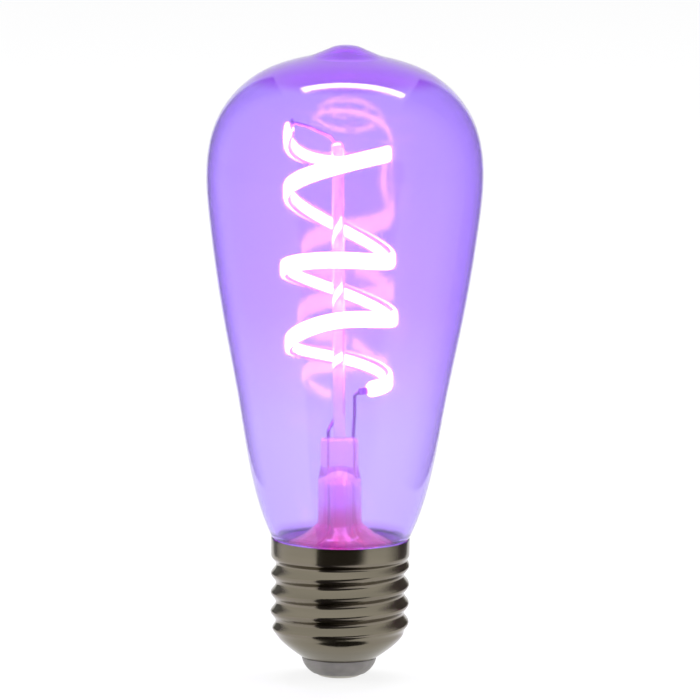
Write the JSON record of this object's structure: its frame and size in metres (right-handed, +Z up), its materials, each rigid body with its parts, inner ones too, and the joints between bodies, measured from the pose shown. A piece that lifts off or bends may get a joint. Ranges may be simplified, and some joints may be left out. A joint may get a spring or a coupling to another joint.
{
  "type": "led filament bulb",
  "caption": "Pear-tapered tinted glass bulb with a flexible coiled filament strip on a glass post and a screw cap",
  "frame": {"origin": "middle of the foot of the centre contact", "axes": "+Z up along the bulb's axis, from the contact to the top of the glass; -Y is the side seen in the picture"},
  "size_m": [0.0522, 0.0522, 0.1204],
  "materials": {
    "tinted_glass": "blown glass with a thin violet tint, clear and glossy",
    "clear_glass": "clear drawn and pressed glass",
    "black_nickel": "rolled sheet with a glossy dark nickel plating",
    "bead_glass": "grey glassy insulating bead, semi-gloss",
    "contact_metal": "pressed contact, tinned",
    "solder": "bright solder",
    "cement": "matt capping cement",
    "filament_silicone": "phosphor silicone, lit",
    "filament_carrier": "flexible printed carrier",
    "chip": "small bare chips",
    "nickel_wire": "drawn nickel wire",
    "seal_wire": "copper-clad seal wire",
    "copper_wire": "tinned copper wire",
    "board": "printed circuit board with solder mask",
    "package_black": "moulded black package",
    "can_sleeve": "shrunk sleeve over a can",
    "resistor_body": "lacquered resistor body"
  },
  "bodies": {
    "root": {"cap_shell": "black_nickel", "cap_insulator": "bead_glass", "contact_plate": "contact_metal", "centre_solder": "solder", "cement_ring": "cement", "glass_envelope": "tinted_glass", "stem_glass": "clear_glass", "exhaust_tube": "clear_glass", "centre_post": "clear_glass", "lead_long": "nickel_wire", "lead_short": "nickel_wire", "seal_wire_long": "seal_wire", "seal_wire_short": "seal_wire", "outer_lead_long": "copper_wire", "outer_lead_short": "copper_wire", "filament_carrier": "filament_carrier", "led_chips": "chip", "filament_coating": "filament_silicone", "filament_tab_top": "nickel_wire", "filament_tab_bottom": "nickel_wire", "driver_board": "board", "rectifier": "package_black", "driver_chip": "package_black", "chip_resistors": "package_black", "capacitor": "can_sleeve", "fuse_resistor": "resistor_body", "contact_wire": "copper_wire", "shell_wire": "copper_wire"}
  },
  "joints": []
}
